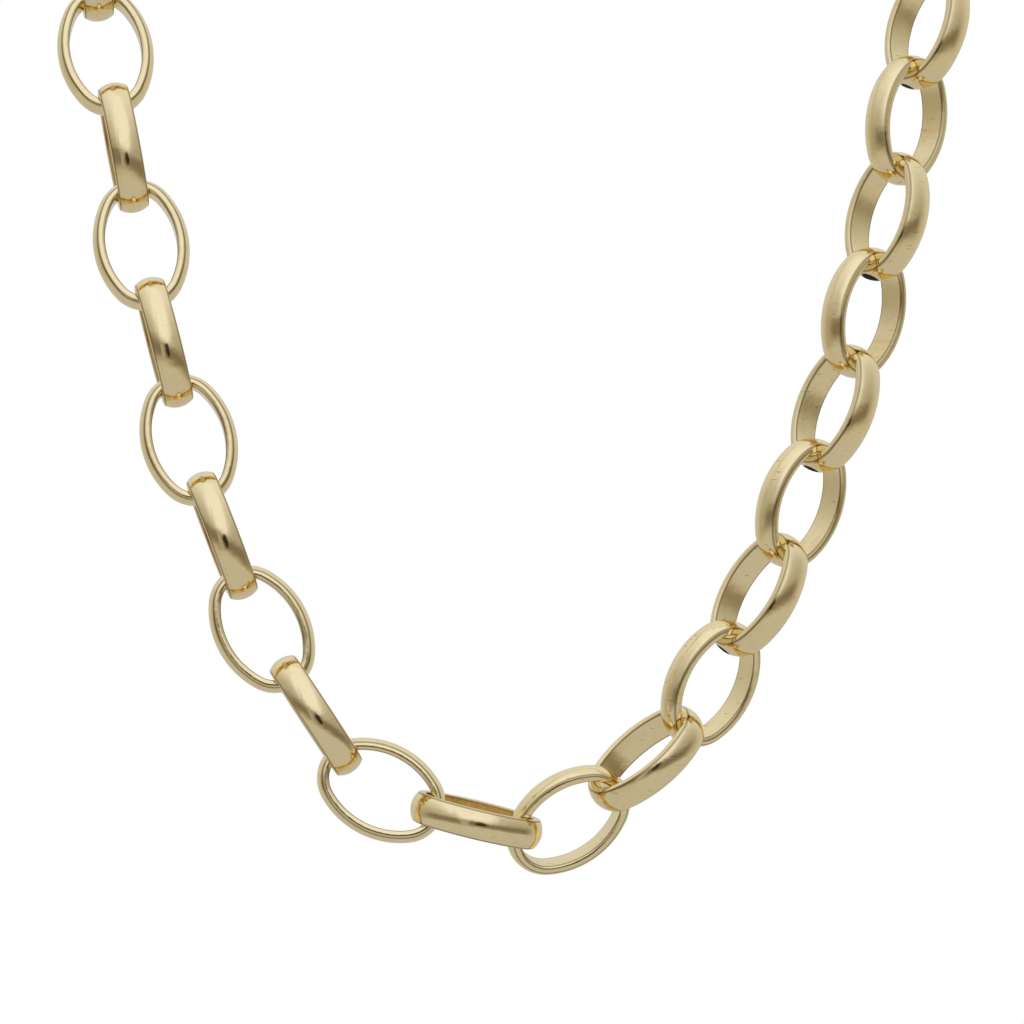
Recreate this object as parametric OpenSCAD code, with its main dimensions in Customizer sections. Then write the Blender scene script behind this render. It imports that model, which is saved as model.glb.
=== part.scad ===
// Rolo chain necklace: forty oval belcher links, two end rings and a plain clasp, as it hangs round a neck.
// X runs across the wearer, Y to the back and Z up. The origin is the middle of the neck.

/* [Links] */
// Number of links
link_count = 40; // [38:1:42]
// Length of the hole in a link
hole_l = 13; // [12.8:0.1:13.2]
// Width of the hole in a link
hole_w = 8.5; // [8.2:0.1:9]
// Radius of the hole at the two ends of a link
end_r = 3.3; // [3.2:0.1:3.6]
// Width of the band that a link is made of
band_w = 3.6; // [3.2:0.1:3.8]
// Thickness of the band at the top of its dome
band_t = 1.45; // [1.3:0.05:1.5]
// Height of the band's side edges above its flat inner face
edge_h = 0.8; // [0.6:0.1:0.9]
// Radius that rounds the band from its side edges to the flat inner face
edge_r = 1.4; // [1.2:0.1:1.6]
// Play where one link hangs in the next
slack = 0.16; // [0.14:0.01:0.3]

/* [Hang] */
// Sideways pull at the lowest point, as a number of links' weight
pull = 1.67; // [1.6:0.01:1.75]
// Place of the lowest point along the row of links
low_link = 20.24; // [20:0.01:21]
// Links on each side of the lowest point that hang upright
low_links = 2.3; // [1.5:0.1:3]
// How much further back each link above those leans, in degrees
lean_back = 2; // [0:0.1:2.5]
// Links on each side of the lowest point that lean back no faster than that, down the front
front_links = 10.5; // [10:0.1:11]
// Links over which each strand bends back over the shoulder
bend_links = 4; // [3.5:0.1:5]
// How far the loop round the neck leans back from the upright plane, in degrees
neck_tilt = 60; // [50:1:65]
// Turn of the left strand about its own length, in degrees
left_twist = -3; // [-4:0.5:0]
// Turn of the right strand about its own length, in degrees
strand_twist = 45; // [30:1:50]
// Place along the row of links where the right strand's turn begins
twist_link = 19.6; // [19.5:0.1:20]
// Links over which that turn builds up
twist_links = 2.4; // [2.2:0.1:4]

/* [Fastening] */
// Wire of the end rings
ring_wire = 1.8; // [1.6:0.1:2]
// Hole in an end ring
ring_hole = 7.4; // [7:0.1:8]
// Wire of the clasp's loop
clasp_wire = 2.2; // [2:0.1:2.4]
// Width of the hole in the clasp's loop
clasp_hole = 4.6; // [4.2:0.1:5]
// Thickness of the clasp's barrel
barrel_d = 3.4; // [3:0.1:3.8]
// Hole in the clasp's eye
eye_hole = 3.6; // [3.4:0.1:3.8]
// Wire of the clasp's eye
eye_wire = 1.5; // [1.4:0.1:1.7]
// Thickness of the neck between the clasp's eye and its loop
neck_d = 1.3; // [1.1:0.1:1.3]
// Length of the neck between the clasp's eye and its loop
clasp_neck = 0.9; // [0.6:0.1:1.2]
// Room that the two end rings and the clasp take in the loop
fastening_l = 28.4; // [27:0.1:31]

/* [Hidden] */
$fn = 96;
gold = [0.84, 0.75, 0.54];
degrees = 180 / PI;

// Links that have settled off the even curve, with how far each one leans, in degrees
LINK = 0;
LEAN = 1;
settled = [
    [13, -3], [15, -3], [17, 2], [18, -3], [19, 10], [20, -5], [21, 11],
    [22, -6], [23, 5], [24, -5], [26, -3], [30, -3],
];

function two_digits(n) = n < 10 ? str("0", n) : str(n);
function link_name(n) = str("link_", two_digits(n));

// A link's hole is an oval of four arcs: two end arcs of end_r and two side arcs of side_r, which meet at arc_split
half_l = hole_l / 2;
half_w = hole_w / 2;
end_x = half_l - end_r;
side_r = (pow(end_x, 2) + pow(half_w, 2) - pow(end_r, 2)) / (2 * (half_w - end_r));
side_y = side_r - half_w;
arc_split = atan2(side_y, end_x);

// The band's section: a dome between its side edges, and a flat inner face as wide as the rounding leaves it
edge_y = band_w / 2;
dome_rise = band_t - edge_h;
dome_r = (pow(edge_y, 2) + pow(dome_rise, 2)) / (2 * dome_rise);
round_y = edge_y - edge_r;
flat_y = round_y + sqrt(pow(edge_r, 2) - pow(edge_h, 2));

// A flat face whose corners lie reach off the middle is seated in a round end this far from the centre of its arc
function seated(r, reach) = sqrt(pow(r, 2) - pow(reach, 2));
link_middle = 2 * seated(end_r, flat_y) - slack;
pitch = 2 * end_x + link_middle;

// The hanging curve at u links from the lowest point: its lean off the upright, and how far across it has come
pull_l = pull * pitch;
function strand_lean(u) = 90 - atan(abs(u) / pull);
function across(u) = let (s = u / pull) pull_l * ln(s + sqrt(s * s + 1));

// Each strand turns into an even arc that meets the other strand at the middle of the back of the neck
function turn_radius(u) = across(u) / cos(strand_lean(u));
function half_loop(u) = u + turn_radius(u) * (90 + strand_lean(u)) / degrees / pitch;
half_count = (link_count + fastening_l / pitch) / 2;
function turn_start(low, high, tries) = tries == 0 ? low
    : let (u = (low + high) / 2) half_loop(u) < half_count
    ? turn_start(u, high, tries - 1)
    : turn_start(low, u, tries - 1);
turn_u = turn_start(front_links, 2 * front_links, 40);
neck_r = turn_radius(turn_u);

// The direction of the row of links at u, from left to right through the lowest point, and the side it faces
function heading(u) = abs(u) <= turn_u ? strand_lean(u)
    : strand_lean(turn_u) - (abs(u) - turn_u) * pitch / neck_r * degrees;
front_tilt = lean_back * (front_links - low_links);
function front_lean(u) = lean_back * max(0, min(abs(u), front_links) - low_links);
function bend(u) = min(1, max(0, (abs(u) - front_links) / bend_links));
function tilt(u) = front_lean(u) + (neck_tilt - front_tilt) * bend(u);
function forward(u) = [sin(heading(u)), sign(u) * cos(heading(u)) * sin(tilt(u)), sign(u) * cos(heading(u)) * cos(tilt(u))];
function facing(u) = [0, -cos(tilt(u)), sin(tilt(u))];

// Each strand's turn about its own length, which grows to a quarter turn where the right one meets the clasp
twist_u = twist_link - low_link;
function settled_twist(u) = u <= twist_u ? left_twist
    : strand_twist - (strand_twist - left_twist) * exp((twist_u - u) / twist_links);
function hidden_twist(u) = (90 - strand_twist) * max(0, u - front_links) / (half_count - front_links);
function twist(u) = u < 0 ? settled_twist(u) : settled_twist(u) + hidden_twist(u);

// A piece's frame: the way it points, its oval's long side's square direction, and the normal of its oval
function unit(v) = v / norm(v);
function rolled(point, face, roll) = let (side = cross(face, point))
    [point, cos(roll) * side - sin(roll) * face, cos(roll) * face + sin(roll) * side];
function lean(n) = let (row = [for (r = settled) if (r[LINK] == n) r[LEAN]]) len(row) > 0 ? row[0] : 0;
function link_u(n) = n - low_link;
function link_frame(n) = let (
        u = link_u(n),
        face = facing(u),
        point = cos(lean(n)) * forward(u) + sin(lean(n)) * cross(face, forward(u)))
    rolled(point, face, 90 * (1 - n % 2) - twist(u));
POINT = 0;
SIDE = 1;
NORMAL = 2;
frames = [for (n = [1:link_count]) link_frame(n)];

// The middle of a joint lies along the planes of both pieces that meet there, and is shorter if they aren't square
function joint_way(a, b) = let (way = unit(cross(a[NORMAL], b[NORMAL])))
    way * (a[POINT] + b[POINT]) < 0 ? -way : way;
function corner_reach(a, b) = let (c = abs(a[NORMAL] * b[NORMAL])) flat_y * sqrt((1 + c) / (1 - c));
function joint_middle(a, b) = 2 * seated(end_r, corner_reach(a, b)) - slack;
steps = [for (i = [0:link_count - 2]) let (a = frames[i], b = frames[i + 1])
    end_x * (a[POINT] + b[POINT]) + joint_middle(a, b) * joint_way(a, b)];
centres = [for (i = 0, c = [0, 0, 0]; i < link_count; c = i < link_count - 1 ? c + steps[i] : c, i = i + 1) c];

// The end rings hang in the outer ends of the first and last links, square to them
ring_r = ring_hole / 2;
ring_middle = end_r + seated(ring_r, flat_y) - slack;
half_ring = ring_r / pitch;
right_u = link_count + 0.5 + half_ring - low_link;
left_u = 0.5 - half_ring - low_link;
right_ring = rolled(forward(right_u), facing(right_u), 90);
left_ring = rolled(forward(left_u), facing(left_u), 90);
last_link = frames[link_count - 1];
right_at = centres[link_count - 1] + end_x * last_link[POINT] + ring_middle * joint_way(last_link, right_ring);
left_at = -end_x * frames[0][POINT] - ring_middle * joint_way(left_ring, frames[0]);

// The clasp lies flat between the two rings, from its eye in the right one to its loop in the left one
eye_r = eye_hole / 2;
claw_r = clasp_hole / 2;
function in_plane(ring, way) = unit(way - (way * ring[NORMAL]) * ring[NORMAL]);
eye_at = right_at + (ring_r + eye_r - slack) * in_plane(right_ring, left_at - right_at);
claw_at = left_at - (ring_r + claw_r - slack) * in_plane(left_ring, left_at - right_at);
claw_x = norm(claw_at - eye_at);
clasp_way = unit(claw_at - eye_at);
clasp_face = unit(facing(half_count) - (facing(half_count) * clasp_way) * clasp_way);
clasp_frame = rolled(clasp_way, clasp_face, 0);

// The neck's middle is the middle of the arc at the back, halfway between the two strands
xs = [for (c = centres) c.x];
back_at = (left_at + right_at) / 2;
neck_at = [(min(xs) + max(xs)) / 2, back_at.y - neck_r * sin(neck_tilt), back_at.z - neck_r * cos(neck_tilt)];

// Puts a piece that is drawn along X, with its oval in the XY plane, where it belongs on the necklace
module placed(frame, at) {
    to = at - neck_at;
    multmatrix([
        [frame[POINT].x, frame[SIDE].x, frame[NORMAL].x, to.x],
        [frame[POINT].y, frame[SIDE].y, frame[NORMAL].y, to.y],
        [frame[POINT].z, frame[SIDE].z, frame[NORMAL].z, to.z],
    ]) children();
}

// The band's section, with its flat inner face on the line x = 0 and its dome towards +X
module band_section() {
    intersection() {
        translate([band_t - dome_r, 0]) circle(dome_r);
        union() {
            translate([edge_h, round_y]) circle(edge_r);
            translate([edge_h, -round_y]) circle(edge_r);
            translate([0, -flat_y / 2]) square([band_t, flat_y]);
        }
        translate([0, -band_w]) square([2 * band_t, 2 * band_w]);
    }
}

// One arc of the band, whose inner face has radius r, from one angle on to another
module band_arc(r, from, to) {
    rotate_extrude(angle = to - from, start = from) translate([r, 0]) band_section();
}

module oval_link() {
    color(gold) for (turn = [0, 180]) rotate([0, 0, turn]) {
        translate([end_x, 0]) band_arc(end_r, -arc_split, arc_split);
        translate([0, -side_y]) band_arc(side_r, arc_split, 180 - arc_split);
    }
}

// A ring of round wire
module wire_ring(hole_r, wire) {
    rotate_extrude() translate([hole_r + wire / 2, 0]) circle(d = wire);
}

// Half of such a ring, open towards -X
module wire_bow(hole_r, wire) {
    rotate_extrude(angle = 180, start = -90) translate([hole_r + wire / 2, 0]) circle(d = wire);
}

module end_ring() {
    color(gold) wire_ring(ring_r, ring_wire);
}

// The clasp's eye is round the origin, and its loop ends round the point claw_x along X
module clasp() {
    loop_y = claw_r + clasp_wire / 2;
    loop_x = eye_r + eye_wire + clasp_neck + clasp_wire + claw_r;
    color(gold) union() {
        wire_ring(eye_r, eye_wire);
        translate([eye_r + eye_wire / 2, 0, 0]) rotate([0, 90, 0])
            cylinder(h = clasp_neck + clasp_wire, d = neck_d);
        translate([loop_x, 0]) mirror([1, 0, 0]) wire_bow(claw_r, clasp_wire);
        translate([claw_x, 0]) wire_bow(claw_r, clasp_wire);
        translate([loop_x, loop_y, 0]) rotate([0, 90, 0]) cylinder(h = claw_x - loop_x, d = clasp_wire);
        translate([loop_x, -loop_y, 0]) rotate([0, 90, 0]) barrel(claw_x - loop_x);
    }
}

// A round barrel along Z with round ends, whose middle part is h long
module barrel(h) {
    rotate_extrude() intersection() {
        union() {
            circle(d = barrel_d);
            translate([0, h]) circle(d = barrel_d);
            translate([-barrel_d / 2, 0]) square([barrel_d, h]);
        }
        translate([0, -barrel_d]) square([barrel_d, h + 2 * barrel_d]);
    }
}

for (n = [1:link_count]) {
    placed(frames[n - 1], centres[n - 1]) oval_link();
}
placed(right_ring, right_at) end_ring();  // end_ring_right
placed(clasp_frame, eye_at) clasp();
placed(left_ring, left_at) end_ring();  // end_ring_left
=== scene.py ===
# Rolo chain necklace: the polished looks of its forty oval links, two end rings and clasp.
# X runs across the wearer, Y to the back and Z up, in metres, as in the frame.
import math

import bpy
import numpy as np
from mathutils import Matrix, Vector


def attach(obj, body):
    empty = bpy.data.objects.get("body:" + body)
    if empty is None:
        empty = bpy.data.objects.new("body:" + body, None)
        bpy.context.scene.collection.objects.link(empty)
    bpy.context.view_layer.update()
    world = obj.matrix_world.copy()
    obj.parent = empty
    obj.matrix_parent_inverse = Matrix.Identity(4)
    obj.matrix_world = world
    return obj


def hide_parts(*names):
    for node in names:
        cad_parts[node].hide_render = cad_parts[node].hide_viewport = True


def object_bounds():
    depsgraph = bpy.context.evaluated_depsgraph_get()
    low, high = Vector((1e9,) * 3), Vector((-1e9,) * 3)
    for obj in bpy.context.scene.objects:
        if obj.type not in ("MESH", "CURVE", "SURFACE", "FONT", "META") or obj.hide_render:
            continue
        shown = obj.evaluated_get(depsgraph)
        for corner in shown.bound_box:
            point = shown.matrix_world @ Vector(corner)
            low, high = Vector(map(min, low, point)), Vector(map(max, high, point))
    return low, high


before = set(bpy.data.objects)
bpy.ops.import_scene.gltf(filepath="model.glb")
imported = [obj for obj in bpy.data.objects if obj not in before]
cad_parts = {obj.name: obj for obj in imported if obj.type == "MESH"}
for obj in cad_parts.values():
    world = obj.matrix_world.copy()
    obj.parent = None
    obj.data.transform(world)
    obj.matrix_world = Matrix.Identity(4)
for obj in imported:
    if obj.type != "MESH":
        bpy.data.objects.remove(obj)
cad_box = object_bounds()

MM = 0.001
DEGREE = math.pi / 180

# The link's sizes in millimetres, the same as in the part's source
HOLE_L = 13.0
HOLE_W = 8.5
END_R = 3.3
BAND_W = 3.6
BAND_T = 1.45

# The band's rims: a full round ridge, highest in the middle, that meets the dome in a crisp edge
RIM_MIDDLE = 0.5
RIM_R = 0.82
DOME_EDGE_H = 0.88
SIDE_EDGE_ROUND = 0.16
INNER_EDGE_ROUND = 0.12

# How finely the band is divided, where the points of its flat inner face are, and how near two points are, in
# metres, when they become one
STEPS_ROUND_LINK = 120
STEPS_ON_DOME = 16
STEPS_ON_RIM = 6
STEPS_IN_CORNER = 4
FLAT_POINTS = (0.9, 0, -0.9)
WELD = 0.5e-6

# Finishes, as light that the surface gives back
GOLD = (0.945, 0.795, 0.45)
WORN_GOLD = tuple(full * kept for full, kept in zip(GOLD, (0.92, 0.90, 0.84)))
# The next colour is painted shade: dark lines along the band's edges, where shade and dark reflections fall
EDGE_PAINTED_SHADE = (0.34, 0.265, 0.125)
NICK_GOLD = (0.34, 0.27, 0.14)
# The next colour is painted on some link ends as near-black patches, rough and not metal
DARK_PATCH = (0.012, 0.008, 0.004)
FLOOR_PALE = (0.73, 0.71, 0.67)
FLOOR_CLOUD = tuple(0.97 * full for full in FLOOR_PALE)
FLOOR_SEEN = (0.97, 0.95, 0.90)
FLOOR_CLOUD_WAVES = 6.0
FLOOR_ROUGH = 0.8

# How fine each kind of wear is, in waves of noise to the metre, and from where to where in the noise it shows
WIPING_WAVES, WIPING_SHOWS = (110.0, 4600.0, 0.0), (0.52, 0.70)
NICK_WAVES, NICK_SHOWS = (620.0, 620.0, 5200.0), (0.71, 0.76)
SCUFF_WAVES, SCUFF_SHOWS = 620.0, (0.52, 0.78)
SWELL_WAVES = 330.0
RIPPLE_WAVES, RIPPLE_SHARE = 900.0, 0.9

# What the wear does to the gold's tone. There are more nicks on the right strand than on the left
MARK_AMOUNT = 1.0
SCUFF_AMOUNT = 1.0
DULLED = 0.5
NICKS_ON_LEFT = 0.15
NICKS_MORE_ON_RIGHT = 0.55
STRANDS_MEET = 15 * MM
# How much of the painted shade along the band's edges shows
EDGE_SHADE_SHOWN = 0.85

# How rough the polish is, what wear adds to it, and how deep the unevenness is
POLISH_ROUGH = 0.11
MARK_ROUGH = 0.06
SCUFF_ROUGH = 0.04
INNER_ROUGH = 0.06
# How rough the near-black patches on some link ends are
DARK_PATCH_ROUGH = 0.9
MARK_RELIEF = -0.035
RELIEF_DEPTH = 0.03 * MM

# Where the band's edges, which get painted shade, and its inner face are, by height over the inner face and
# place across the band
INNER_FACE = (0.10 * MM, 0.02 * MM)
SIDE_EDGE = (0.14 * MM, 0.04 * MM)
INNER_EDGE_HEIGHT = (0.14 * MM, 0.05 * MM)
INNER_EDGE_ACROSS = (1.44 * MM, 1.54 * MM)

# Near-black patches painted on link ends, in millimetres along the link's long, wide and thin ways from its
# middle
DARK_PATCHES = (
    # link, long, wide, thin, slope in degrees, half length, half width
    ("link_24", 7.87, -0.2, -0.78, 37, 1.35, 0.18),
    ("link_26", 7.95, -0.4, -0.6, 27, 1.15, 0.22),
    ("link_28", 8.05, -0.45, -0.6, 27, 1.4, 0.36),
    ("link_30", 8.05, 0.25, -0.35, 27, 1.1, 0.20),
)
# Where the near-black patches fade out: by distance from their middle, and at the edge of their lens shape
DARK_PATCH_NEAR = (1.9 * MM, 1.6 * MM)
DARK_PATCH_EDGE = (1.05, 0.85)

# Where the drawn nodes stand in a node tree
NODE_WIDE = 190
NODE_HIGH = 260
NODES_IN_ROW = 12


class Tree:
    """Adds nodes to a node tree, with values or other nodes' outputs on their inputs."""

    def __init__(self, tree):
        self.tree = tree
        self.count = 0

    def add(self, kind, *inputs, **settings):
        node = self.tree.nodes.new(kind)
        node.location = (NODE_WIDE * (self.count % NODES_IN_ROW), -NODE_HIGH * (self.count // NODES_IN_ROW))
        self.count += 1
        named = settings.pop("named", {})
        for name, value in settings.items():
            setattr(node, name, value)
        for place, value in list(enumerate(inputs)) + list(named.items()):
            if value is not None:
                self.feed(node.inputs[place], value)
        return node

    def feed(self, socket, value):
        if isinstance(value, bpy.types.NodeSocket):
            self.tree.links.new(value, socket)
        else:
            socket.default_value = value

    def math(self, operation, *inputs, clamp=False):
        return self.add("ShaderNodeMath", *inputs, operation=operation, use_clamp=clamp).outputs[0]

    def vector_math(self, operation, *inputs):
        node = self.add("ShaderNodeVectorMath", *inputs, operation=operation)
        return node.outputs["Value" if operation in ("DOT_PRODUCT", "LENGTH") else "Vector"]

    def step(self, value, low, high):
        """A smooth step from 0 at low to 1 at high."""
        node = self.add("ShaderNodeMapRange", interpolation_type="SMOOTHSTEP",
                        named={"Value": value, "From Min": low, "From Max": high})
        return node.outputs["Result"]

    def noise(self, where, waves, detail):
        """Noise with so many waves to the metre, the same in every direction or a number for each."""
        if isinstance(waves, tuple):
            where, waves = self.vector_math("MULTIPLY", where, waves), 1.0
        node = self.add("ShaderNodeTexNoise", named={"Vector": where, "Scale": waves, "Detail": detail})
        return node.outputs[0]

    def split(self, vector):
        return self.add("ShaderNodeSeparateXYZ", vector).outputs

    def combine(self, x, y, z):
        return self.add("ShaderNodeCombineXYZ", x, y, z).outputs[0]

    def mix(self, amount, low, high):
        """The low colour where the amount is 0, and the high one where it is 1."""
        node = self.add("ShaderNodeMix", data_type="RGBA")
        for name, value in (("Factor_Float", amount), ("A_Color", low), ("B_Color", high)):
            socket = next(s for s in node.inputs if s.identifier == name)
            self.feed(socket, (*value, 1.0) if isinstance(value, tuple) else value)
        return next(s for s in node.outputs if s.identifier == "Result_Color")

    def store(self, geometry, name, value, kind, domain):
        """Writes the value on the geometry as a named attribute."""
        node = self.add("GeometryNodeStoreNamedAttribute", data_type=kind, domain=domain)
        for place, given in (("Geometry", geometry), ("Name", name), ("Value", value)):
            self.feed(next(s for s in node.inputs if s.name == place and s.enabled), given)
        return node.outputs[0]


def empty_tree(owner):
    """Gives a material or world an empty node tree to build in."""
    owner.use_nodes = True
    owner.node_tree.nodes.clear()
    return Tree(owner.node_tree)


def new_object(name, data):
    """An object in the scene with this mesh or camera."""
    made = bpy.data.objects.new(name, data)
    bpy.context.scene.collection.objects.link(made)
    return made


# The band's section

def round_corner(points, corner, reach):
    """Replaces the corner point by a short curve that starts and ends reach away from it."""
    before, here, after = (points[(corner + i) % len(points)] for i in (-1, 0, 1))
    start = here + (before - here) * min(0.5, reach / np.linalg.norm(before - here))
    end = here + (after - here) * min(0.5, reach / np.linalg.norm(after - here))
    curve = []
    for i in range(STEPS_IN_CORNER + 1):
        t = i / STEPS_IN_CORNER
        curve.append(start * (1 - t) ** 2 + 2 * here * t * (1 - t) + end * t ** 2)
    return curve


def arc(centre, radius, start, end, steps):
    """Points on an arc from the angle start to the angle end, both included."""
    angles = [start + (end - start) * i / steps for i in range(steps + 1)]
    return [np.array([centre[0] + radius * math.cos(a), centre[1] + radius * math.sin(a)]) for a in angles]


def band_section():
    """The band's closed outline as height over the inner face and place across the band, in millimetres."""
    round_y = BAND_W / 2 - RIM_R
    flat_y = round_y + math.sqrt(RIM_R ** 2 - RIM_MIDDLE ** 2)
    edge_y = round_y + math.sqrt(RIM_R ** 2 - (DOME_EDGE_H - RIM_MIDDLE) ** 2)
    rise = BAND_T - DOME_EDGE_H
    dome_r = (edge_y ** 2 + rise ** 2) / (2 * rise)
    dome_end = math.asin(edge_y / dome_r)
    rim_top = math.acos((DOME_EDGE_H - RIM_MIDDLE) / RIM_R)
    rim_start = math.acos(-RIM_MIDDLE / RIM_R)
    dome = arc((BAND_T - dome_r, 0), dome_r, -dome_end, dome_end, STEPS_ON_DOME)
    upper_rim = arc((RIM_MIDDLE, round_y), RIM_R, rim_top, rim_start, STEPS_ON_RIM)
    lower_rim = arc((RIM_MIDDLE, -round_y), RIM_R, -rim_start, -rim_top, STEPS_ON_RIM)
    flat = [np.array([0, flat_y * part]) for part in FLAT_POINTS]
    outline = dome + upper_rim[1:] + flat + lower_rim[:-1]
    corners = {
        0: SIDE_EDGE_ROUND,
        len(dome) - 1: SIDE_EDGE_ROUND,
        len(dome) + len(upper_rim) - 2: INNER_EDGE_ROUND,
        len(dome) + len(upper_rim) - 1 + len(flat): INNER_EDGE_ROUND,
    }
    points = []
    for place, point in enumerate(outline):
        points += round_corner(outline, place, corners[place]) if place in corners else [point]
    return points


def outline_object(name, points):
    """A loop of vertices, in metres, for a Geometry Nodes tree to read."""
    mesh = bpy.data.meshes.new(name)
    count = len(points)
    edges = [(i, (i + 1) % count) for i in range(count)]
    mesh.from_pydata([(x * MM, y * MM, 0) for x, y in points], edges, [])
    return new_object(name, mesh)


# The oval link, swept by Geometry Nodes

def oval_link_tree():
    """A band swept round an oval of two end arcs and two side arcs, and put in its place on the necklace."""
    tree = bpy.data.node_groups.new("oval link", "GeometryNodeTree")
    face = tree.interface
    for name, kind in (("Section", "NodeSocketObject"), ("Hole Length", "NodeSocketFloat"),
                       ("Hole Width", "NodeSocketFloat"), ("End Radius", "NodeSocketFloat"),
                       ("Steps Round", "NodeSocketInt"), ("Place", "NodeSocketVector"),
                       ("Turn", "NodeSocketVector"), ("Finish", "NodeSocketMaterial")):
        face.new_socket(name, in_out="INPUT", socket_type=kind)
    face.new_socket("Link", in_out="OUTPUT", socket_type="NodeSocketGeometry")
    t = Tree(tree)
    given = t.add("NodeGroupInput").outputs
    end_r = given["End Radius"]
    steps = given["Steps Round"]

    # The oval's arcs, from its hole's length and width
    end_x = t.math("SUBTRACT", t.math("MULTIPLY", given["Hole Length"], 0.5), end_r)
    half_w = t.math("MULTIPLY", given["Hole Width"], 0.5)
    squares = t.math("ADD", t.math("POWER", end_x, 2.0), t.math("POWER", half_w, 2.0))
    spare = t.math("SUBTRACT", squares, t.math("POWER", end_r, 2.0))
    side_r = t.math("DIVIDE", spare, t.math("MULTIPLY", t.math("SUBTRACT", half_w, end_r), 2.0))
    side_y = t.math("SUBTRACT", side_r, half_w)
    split = t.math("ARCTAN2", side_y, end_x)
    end_arc = t.math("MULTIPLY", end_r, split)
    side_arc = t.math("MULTIPLY", side_r, t.math("SUBTRACT", math.pi / 2, split))
    quarter = t.math("ADD", end_arc, side_arc)

    # A grid with one row for each step round the oval and one column for each point of the section
    info = t.add("GeometryNodeObjectInfo", given["Section"], transform_space="ORIGINAL")
    section = info.outputs["Geometry"]
    count = t.add("GeometryNodeAttributeDomainSize", section).outputs["Point Count"]
    columns = t.math("ADD", count, 1.0)
    grid = t.add("GeometryNodeMeshGrid", 1.0, 1.0, t.math("ADD", steps, 1.0), columns)
    index = t.add("GeometryNodeInputIndex").outputs[0]
    row = t.math("FLOOR", t.math("DIVIDE", t.math("ADD", index, 0.5), columns))
    column = t.math("SUBTRACT", index, t.math("MULTIPLY", row, columns))
    own_point = t.math("FLOORED_MODULO", column, count)
    place = t.add("GeometryNodeInputPosition").outputs[0]
    sample = t.add("GeometryNodeSampleIndex", data_type="FLOAT_VECTOR",
                   named={"Geometry": section, "Value": place, "Index": own_point})
    on_section = t.split(sample.outputs[0])
    height, across = on_section["X"], on_section["Y"]

    # Where that point lies on the oval, worked out in one quarter and mirrored into the others
    turn = t.math("DIVIDE", row, steps)
    way = t.math("MULTIPLY", t.math("MULTIPLY", turn, quarter), 4.0)
    folded = t.math("PINGPONG", way, quarter)
    on_side = t.math("GREATER_THAN", folded, end_arc)
    end_angle = t.math("DIVIDE", t.math("MINIMUM", folded, end_arc), end_r)
    side_angle = t.math("DIVIDE", t.math("MAXIMUM", t.math("SUBTRACT", folded, end_arc), 0.0), side_r)
    angle = t.math("ADD", end_angle, side_angle)
    radius = t.math("ADD", end_r, t.math("MULTIPLY", on_side, t.math("SUBTRACT", side_r, end_r)))
    outer = t.math("ADD", radius, height)
    centre_x = t.math("MULTIPLY", end_x, t.math("SUBTRACT", 1.0, on_side))
    centre_y = t.math("MULTIPLY", side_y, t.math("MULTIPLY", on_side, -1.0))
    quarter_x = t.math("ADD", centre_x, t.math("MULTIPLY", outer, t.math("COSINE", angle)))
    quarter_y = t.math("ADD", centre_y, t.math("MULTIPLY", outer, t.math("SINE", angle)))
    left = t.math("LESS_THAN", t.math("ABSOLUTE", t.math("SUBTRACT", turn, 0.5)), 0.25)
    under = t.math("GREATER_THAN", turn, 0.5)
    sign_x = t.math("SUBTRACT", 1.0, t.math("MULTIPLY", left, 2.0))
    sign_y = t.math("SUBTRACT", 1.0, t.math("MULTIPLY", under, 2.0))
    spot = t.combine(t.math("MULTIPLY", quarter_x, sign_x), t.math("MULTIPLY", quarter_y, sign_y), across)
    swept = t.add("GeometryNodeSetPosition", grid.outputs["Mesh"], None, spot).outputs[0]

    # Lengths round the link and across the band, in metres, for the finish's patterns
    flat = t.split(grid.outputs["UV Map"])
    round_way = t.math("MULTIPLY", t.math("MULTIPLY", flat["X"], quarter), 4.0)
    section_way = t.math("MULTIPLY", flat["Y"], 2 * BAND_W * MM)
    unrolled = t.store(swept, "UVMap", t.combine(round_way, section_way, 0.0), "FLOAT2", "CORNER")
    marked = t.store(unrolled, "band", t.combine(height, across, 0.0), "FLOAT_VECTOR", "POINT")

    closed = t.add("GeometryNodeMergeByDistance", marked, named={"Distance": WELD}).outputs[0]
    smooth = t.add("GeometryNodeSetShadeSmooth", closed, named={"Shade Smooth": True}).outputs[0]
    turned = t.add("FunctionNodeEulerToRotation", given["Turn"]).outputs[0]
    placed = t.add("GeometryNodeTransform", smooth,
                   named={"Translation": given["Place"], "Rotation": turned}).outputs[0]
    real = t.add("GeometryNodeRealizeInstances", placed).outputs[0]
    dressed = t.add("GeometryNodeSetMaterial", real, named={"Material": given["Finish"]}).outputs[0]
    t.add("NodeGroupOutput", dressed)
    return tree


def plain_mesh(name, tree, **values):
    """Runs the tree with these inputs and returns an object with the result as a plain mesh."""
    maker = new_object(name, bpy.data.meshes.new(name))
    modifier = maker.modifiers.new("shape", "NODES")
    modifier.node_group = tree
    for item in tree.interface.items_tree:
        if item.in_out == "INPUT" and item.name in values:
            modifier[item.identifier] = values[item.name]
    depsgraph = bpy.context.evaluated_depsgraph_get()
    made = bpy.data.meshes.new_from_object(maker.evaluated_get(depsgraph), depsgraph=depsgraph)
    made.name = name
    made.polygons.foreach_set("material_index", [0] * len(made.polygons))
    while len(made.materials) > 1:
        made.materials.pop(index=0)
    maker.modifiers.clear()
    maker.data = made
    return maker


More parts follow.
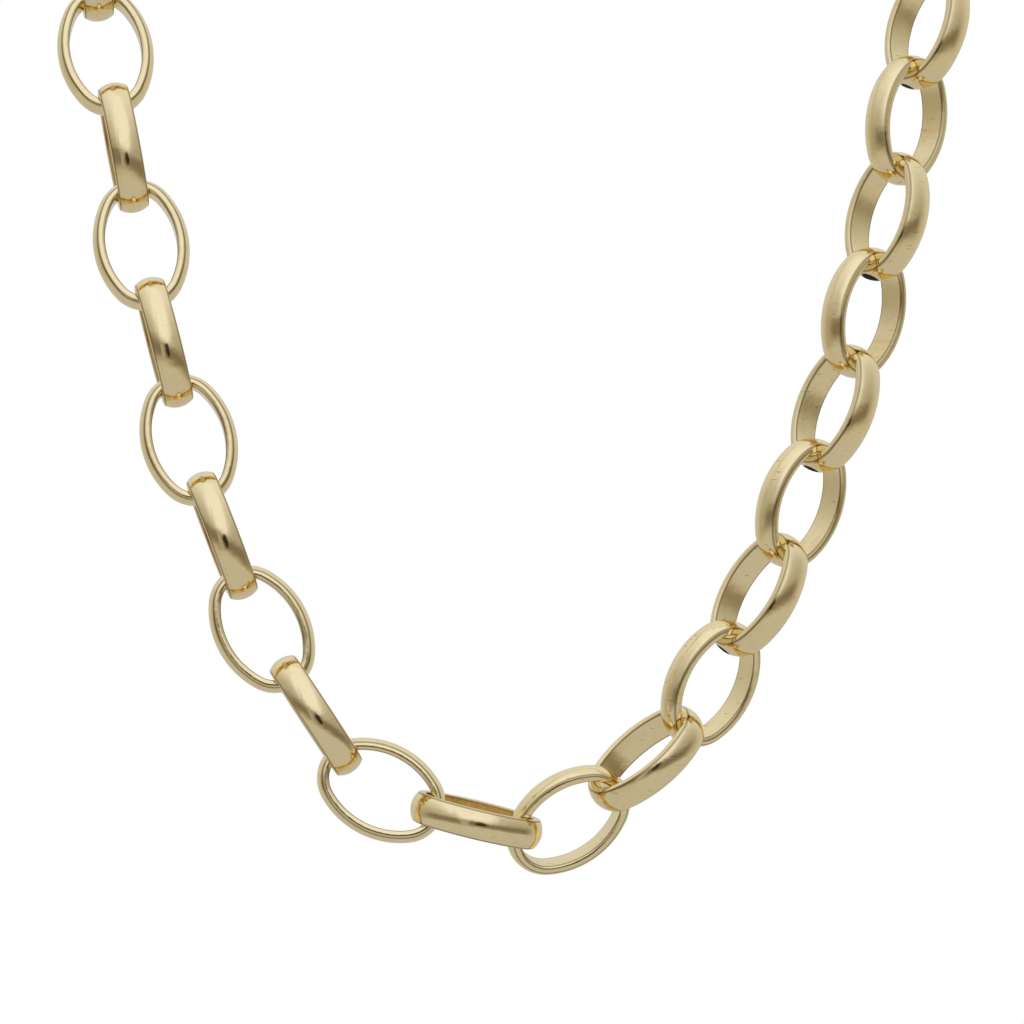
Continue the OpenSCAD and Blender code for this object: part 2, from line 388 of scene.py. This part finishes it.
def solid_axes(node):
    """The middle of a CAD node and its long, wide and thin directions, from the solid's own moments."""
    mesh = node.data
    mesh.calc_loop_triangles()
    corners = np.array([v.co for v in mesh.vertices])
    start = corners.mean(0)
    triangles = np.array([t.vertices for t in mesh.loop_triangles])
    a, b, c = ((corners - start)[triangles[:, i]] for i in range(3))
    weight = np.einsum("ij,ij->i", a, np.cross(b, c))
    total = a + b + c
    centre = (weight[:, None] * total).sum(0) / 4 / weight.sum()
    moment = sum(np.einsum("i,ij,ik->jk", weight, p, p) for p in (a, b, c, total)) / 20 / weight.sum()
    axes = np.linalg.eigh(moment - np.outer(centre, centre))[1]
    long_way, wide_way = Vector(axes[:, 2]), Vector(axes[:, 1])
    if long_way.z > 0:
        long_way.negate()
    return Vector(start + centre), long_way, wide_way, long_way.cross(wide_way)


# Finishes

def polish_wear_group():
    """Wiping marks, small scuffs, level nicks and the unevenness of a hand-polished surface."""
    group = bpy.data.node_groups.new("polish wear", "ShaderNodeTree")
    for name, kind in (("Along", "NodeSocketVector"), ("Around", "NodeSocketVector"),
                       ("Mark Amount", "NodeSocketFloat"), ("Scuff Amount", "NodeSocketFloat")):
        group.interface.new_socket(name, in_out="INPUT", socket_type=kind)
    for name in ("Marks", "Scuffs", "Nicks", "Unevenness"):
        group.interface.new_socket(name, in_out="OUTPUT", socket_type="NodeSocketFloat")
    t = Tree(group)
    given = t.add("NodeGroupInput").outputs
    marks = t.step(t.noise(given["Along"], WIPING_WAVES, detail=3.0), *WIPING_SHOWS)
    nicks = t.step(t.noise(given["Around"], NICK_WAVES, detail=1.0), *NICK_SHOWS)
    scuffs = t.step(t.noise(given["Around"], SCUFF_WAVES, detail=4.0), *SCUFF_SHOWS)
    swell = t.noise(given["Around"], SWELL_WAVES, detail=1.0)
    ripple = t.noise(given["Around"], RIPPLE_WAVES, detail=1.0)
    uneven = t.math("ADD", swell, t.math("MULTIPLY", ripple, RIPPLE_SHARE))
    marks = t.math("MULTIPLY", marks, given["Mark Amount"])
    nicks = t.math("MULTIPLY", nicks, given["Mark Amount"])
    scuffs = t.math("MULTIPLY", scuffs, given["Scuff Amount"])
    t.add("NodeGroupOutput", marks, scuffs, nicks, uneven)
    return group


def dark_patch_mask(t, spots, places):
    """One where a link's end has a near-black patch, in a thin lens shape across the band's end."""
    shown = 0.0
    for name, far, wide, thin, slope, half_length, half_width in DARK_PATCHES:
        middle, long_way, wide_way, thin_way = places[name]
        centre = middle + (long_way * far + wide_way * wide + thin_way * thin) * MM
        across, down = math.cos(slope * DEGREE), math.sin(slope * DEGREE)
        apart = t.vector_math("SUBTRACT", spots, tuple(centre))
        squares = []
        for direction, half in (((-down, 0.0, -across), half_width), ((across, 0.0, -down), half_length)):
            far_off = t.math("DIVIDE", t.vector_math("DOT_PRODUCT", apart, direction), half * MM)
            squares.append(t.math("POWER", far_off, 2.0))
        reach = t.math("SQRT", t.math("ADD", *squares))
        near = t.step(t.vector_math("LENGTH", apart), *DARK_PATCH_NEAR)
        shown = t.math("MAXIMUM", shown, t.math("MULTIPLY", near, t.step(reach, *DARK_PATCH_EDGE)))
    return shown


def gold_material(name, wear, places=None):
    """Polished pale gold. With the links' places given, it is the links' own: the marks run along the band,
    the band's edges get painted shade, its inner face is a little duller, and some link ends get near-black
    patches."""
    made = bpy.data.materials.new(name)
    t = empty_tree(made)
    coordinates = t.add("ShaderNodeTexCoord").outputs
    worn = t.add("ShaderNodeGroup", node_tree=wear, named={
        "Along": coordinates["UV" if places else "Object"], "Around": coordinates["Object"],
        "Mark Amount": MARK_AMOUNT, "Scuff Amount": SCUFF_AMOUNT}).outputs
    marks, scuffs, nicks, uneven = (worn[part] for part in ("Marks", "Scuffs", "Nicks", "Unevenness"))

    # The tone
    dulled = t.math("ADD", t.math("MULTIPLY", scuffs, DULLED), t.math("MULTIPLY", marks, DULLED), clamp=True)
    tone = t.mix(dulled, GOLD, WORN_GOLD)
    right_strand = t.step(t.split(coordinates["Object"])["X"], -STRANDS_MEET, STRANDS_MEET)
    share = t.math("ADD", NICKS_ON_LEFT, t.math("MULTIPLY", right_strand, NICKS_MORE_ON_RIGHT))
    tone = t.mix(t.math("MULTIPLY", nicks, share), tone, NICK_GOLD)
    if places:
        band = t.add("ShaderNodeAttribute", attribute_name="band").outputs["Vector"]
        height, across = t.split(band)[:2]
        inner = t.step(height, *INNER_FACE)
        # Painted shade: dark lines along the dome's crisp edge and along the inner face's edges
        off_edge = t.math("ABSOLUTE", t.math("SUBTRACT", height, DOME_EDGE_H * MM))
        inner_edge = t.math("MULTIPLY", t.step(height, *INNER_EDGE_HEIGHT),
                            t.step(t.math("ABSOLUTE", across), *INNER_EDGE_ACROSS))
        edges = t.math("MAXIMUM", t.step(off_edge, *SIDE_EDGE), inner_edge)
        tone = t.mix(t.math("MULTIPLY", edges, EDGE_SHADE_SHOWN), tone, EDGE_PAINTED_SHADE)
        # Near-black patches painted on some link ends
        dark_patched = dark_patch_mask(t, coordinates["Object"], places)
        tone = t.mix(dark_patched, tone, DARK_PATCH)

    # The polish
    rough = t.math("ADD", POLISH_ROUGH, t.math("MULTIPLY", marks, MARK_ROUGH))
    rough = t.math("ADD", rough, t.math("MULTIPLY", scuffs, SCUFF_ROUGH))
    metal = 1.0
    if places:
        rough = t.math("ADD", rough, t.math("MULTIPLY", inner, INNER_ROUGH))
        # The near-black patches are rough and not metal
        rough = t.math("MAXIMUM", rough, t.math("MULTIPLY", dark_patched, DARK_PATCH_ROUGH))
        metal = t.math("SUBTRACT", 1.0, dark_patched)
    relief = t.math("ADD", uneven, t.math("MULTIPLY", marks, MARK_RELIEF))
    bump = t.add("ShaderNodeBump", named={"Strength": 1.0, "Distance": RELIEF_DEPTH, "Height": relief})
    surface = t.add("ShaderNodeBsdfPrincipled", named={
        "Base Color": tone, "Metallic": metal, "Roughness": rough, "Normal": bump.outputs[0]})
    t.add("ShaderNodeOutputMaterial", surface.outputs[0])
    return made


def floor_material():
    """A pale matt floor, with one tone for the camera and another for the light that it gives the gold."""
    made = bpy.data.materials.new("pale floor")
    t = empty_tree(made)
    cloud = t.noise(t.add("ShaderNodeTexCoord").outputs["Object"], FLOOR_CLOUD_WAVES, detail=3.0)
    tone = t.mix(cloud, FLOOR_PALE, FLOOR_CLOUD)
    straight = t.add("ShaderNodeLightPath").outputs["Is Camera Ray"]
    tone = t.mix(straight, tone, FLOOR_SEEN)
    surface = t.add("ShaderNodeBsdfPrincipled", named={"Base Color": tone, "Roughness": FLOOR_ROUGH})
    t.add("ShaderNodeOutputMaterial", surface.outputs[0])
    return made


# The studio

TENT_WALL = (0.40, 0.375, 0.335)
TENT_TOP = (0.92, 0.945, 1.08)
BACK_LOW = (0.585, 0.57, 0.54)
BACK_HIGH = (0.81, 0.82, 0.87)
BELOW = (0.565, 0.545, 0.50)
DIM_ROOM = (0.215, 0.18, 0.135)
SLEEVE = (0.42, 0.40, 0.37)
CAMERA_DARK = (0.025, 0.016, 0.008)

# Where each part of the tent is, in degrees of azimuth, which is 0 in front and grows to the viewer's right,
# and of elevation. Of two angles, the part starts to show at the first and is full at the second. In front,
# the light is full from LIGHT_FULL up. The two values after it are added to it aside, and on the right.
LIGHT_FOOT = -6.0
LIGHT_FULL = 18.0
LIGHT_FULL_ASIDE = 60.0
LIGHT_FULL_ON_RIGHT = 18.0
ASIDE = (12.0, 62.0)
ON_RIGHT = (-30.0, 30.0)
BELOW_TOP = (-12.0, -30.0)
BACK_RISE = (-20.0, 70.0)
BACK_MIDDLE, BACK_SIDES = -5.0, (80.0, 135.0)
OPENING_MIDDLE, OPENING_SIDES = -24.0, (5.0, 1.0)
OPENING_FOOT, OPENING_HEAD, OPENING_SHOWN = (6.0, 13.0), (46.0, 24.0), 0.5
ROOM_MIDDLE, ROOM_SIDES = 6.0, (94.0, 60.0)
ROOM_FOOT, ROOM_HEAD = (-23.0, -8.0), (11.0, -4.0)
SLEEVE_AZIMUTH, SLEEVE_SIDES = -17.0, (10.0, 4.0)
SLEEVE_ELEVATION, SLEEVE_ENDS = -8.0, (12.0, 6.0)
LENS_AZIMUTH, LENS_ELEVATION, LENS_EDGE = 5, -3, (10.5, 7)


def studio_world():
    """A white light tent, brightest above and behind, with the dim room in a low band round the camera."""
    world = bpy.data.worlds.new("light tent")
    bpy.context.scene.world = world
    t = empty_tree(world)
    way = t.add("ShaderNodeTexCoord").outputs["Generated"]
    parts = t.split(way)
    forward = t.math("MULTIPLY", parts["Y"], -1.0)
    azimuth = t.math("DIVIDE", t.math("ARCTAN2", parts["X"], forward), DEGREE)
    elevation = t.math("DIVIDE", t.math("ARCSINE", parts["Z"]), DEGREE)

    def beside(value, middle, sides):
        """A step in how far the value is from the middle, either way."""
        return t.step(t.math("ABSOLUTE", t.math("SUBTRACT", value, middle)), *sides)

    def all_of(*masks):
        product = masks[0]
        for mask in masks[1:]:
            product = t.math("MULTIPLY", product, mask)
        return product

    # The light comes from above, and reaches lowest in front
    aside = beside(azimuth, 0.0, ASIDE)
    on_right = t.math("MULTIPLY", t.step(azimuth, *ON_RIGHT), LIGHT_FULL_ON_RIGHT)
    reach = t.math("ADD", LIGHT_FULL_ASIDE, on_right)
    full_at = t.math("ADD", LIGHT_FULL, t.math("MULTIPLY", aside, reach))
    light = t.mix(t.step(elevation, LIGHT_FOOT, full_at), TENT_WALL, TENT_TOP)
    light = t.mix(t.step(elevation, *BELOW_TOP), light, BELOW)
    back = t.mix(t.step(elevation, *BACK_RISE), BACK_LOW, BACK_HIGH)
    light = t.mix(beside(azimuth, BACK_MIDDLE, BACK_SIDES), light, back)
    opening_edge = all_of(beside(azimuth, OPENING_MIDDLE, OPENING_SIDES), t.step(elevation, *OPENING_FOOT),
                          t.step(elevation, *OPENING_HEAD), OPENING_SHOWN)
    light = t.mix(opening_edge, light, TENT_WALL)

    # The room shows below the opening, with the camera in its middle
    room = all_of(t.step(elevation, *ROOM_FOOT), t.step(elevation, *ROOM_HEAD),
                  beside(azimuth, ROOM_MIDDLE, ROOM_SIDES))
    light = t.mix(room, light, DIM_ROOM)
    sleeve = all_of(beside(azimuth, SLEEVE_AZIMUTH, SLEEVE_SIDES),
                    beside(elevation, SLEEVE_ELEVATION, SLEEVE_ENDS))
    light = t.mix(sleeve, light, SLEEVE)
    lens_way = Vector((math.sin(LENS_AZIMUTH * DEGREE), -math.cos(LENS_AZIMUTH * DEGREE),
                       math.sin(LENS_ELEVATION * DEGREE))).normalized()
    straight_on = t.vector_math("DOT_PRODUCT", way, lens_way)
    lens_dark = t.step(straight_on, *(math.cos(angle * DEGREE) for angle in LENS_EDGE))
    light = t.mix(lens_dark, light, CAMERA_DARK)

    seen = t.add("ShaderNodeBackground", (1.0, 1.0, 1.0, 1.0), 1.0).outputs[0]
    lit = t.add("ShaderNodeBackground", light, 1.0).outputs[0]
    straight = t.add("ShaderNodeLightPath").outputs["Is Camera Ray"]
    t.add("ShaderNodeOutputWorld", t.add("ShaderNodeMixShader", straight, lit, seen).outputs[0])


def pale_floor(drop=0.09, radius=0.3, sides=96):
    """A plain round floor below the necklace, which hangs at a wearer's neck above it."""
    level = cad_box[0].z - drop
    turns = [2 * math.pi * side / sides for side in range(sides)]
    rim = [(radius * math.cos(turn), radius * math.sin(turn), level) for turn in turns]
    mesh = bpy.data.meshes.new("floor")
    mesh.from_pydata(rim, [], [tuple(range(sides))])
    mesh.materials.append(floor_material())
    floor = new_object("floor", mesh)


# The camera's place in millimetres from the middle of link_19, one of the lowest links, its roll in degrees,
# and the width that its picture shows there
SENSOR_WIDTH = 36
CAMERA_FAR = 1000
CAMERA_RIGHT = 15.2
CAMERA_UP = 33.0
CAMERA_ROLL = 0.43
FRAME_WIDTH = 120.95


def photo_camera(lowest_middle):
    """A long lens one metre in front of the lowest links, looking straight back."""
    lens = bpy.data.cameras.new("camera")
    lens.sensor_width = SENSOR_WIDTH
    lens.lens = SENSOR_WIDTH * CAMERA_FAR / FRAME_WIDTH
    lens.clip_start, lens.clip_end = 0.05, 50
    camera = new_object("camera", lens)
    camera.location = lowest_middle + Vector((CAMERA_RIGHT, -CAMERA_FAR, CAMERA_UP)) * MM
    look_back = Matrix.Rotation(math.pi / 2, 4, "X") @ Matrix.Rotation(CAMERA_ROLL * DEGREE, 4, "Z")
    camera.rotation_euler = look_back.to_euler()
    bpy.context.scene.camera = camera


# Making the necklace
places = {name: solid_axes(node) for name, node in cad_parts.items() if name.startswith("link_")}
photo_camera(places["link_19"][0])
studio_world()
pale_floor()

wear = polish_wear_group()
link_gold = gold_material("polished gold band", wear, places)
plain_gold = gold_material("polished gold wire", wear)

section = outline_object("band section", band_section())
link_tree = oval_link_tree()
for name, (middle, long_way, wide_way, thin_way) in sorted(places.items()):
    turn = Matrix((long_way, wide_way, thin_way)).transposed().to_euler()
    link = plain_mesh("gold_" + name, link_tree, **{
        "Section": section, "Hole Length": HOLE_L * MM, "Hole Width": HOLE_W * MM, "End Radius": END_R * MM,
        "Steps Round": STEPS_ROUND_LINK, "Place": middle, "Turn": Vector(turn), "Finish": link_gold})
    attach(link, "root")
    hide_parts(name)
bpy.data.objects.remove(section)

for name in ("end_ring_right", "clasp", "end_ring_left"):
    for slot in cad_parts[name].material_slots:
        slot.material = plain_gold

# Light goes to and fro between the links many times before it leaves the seats
bpy.context.scene.cycles.max_bounces = 16
bpy.context.scene.cycles.glossy_bounces = 14

view = bpy.context.scene.view_settings
view.view_transform = "Standard"
view.look = "None"
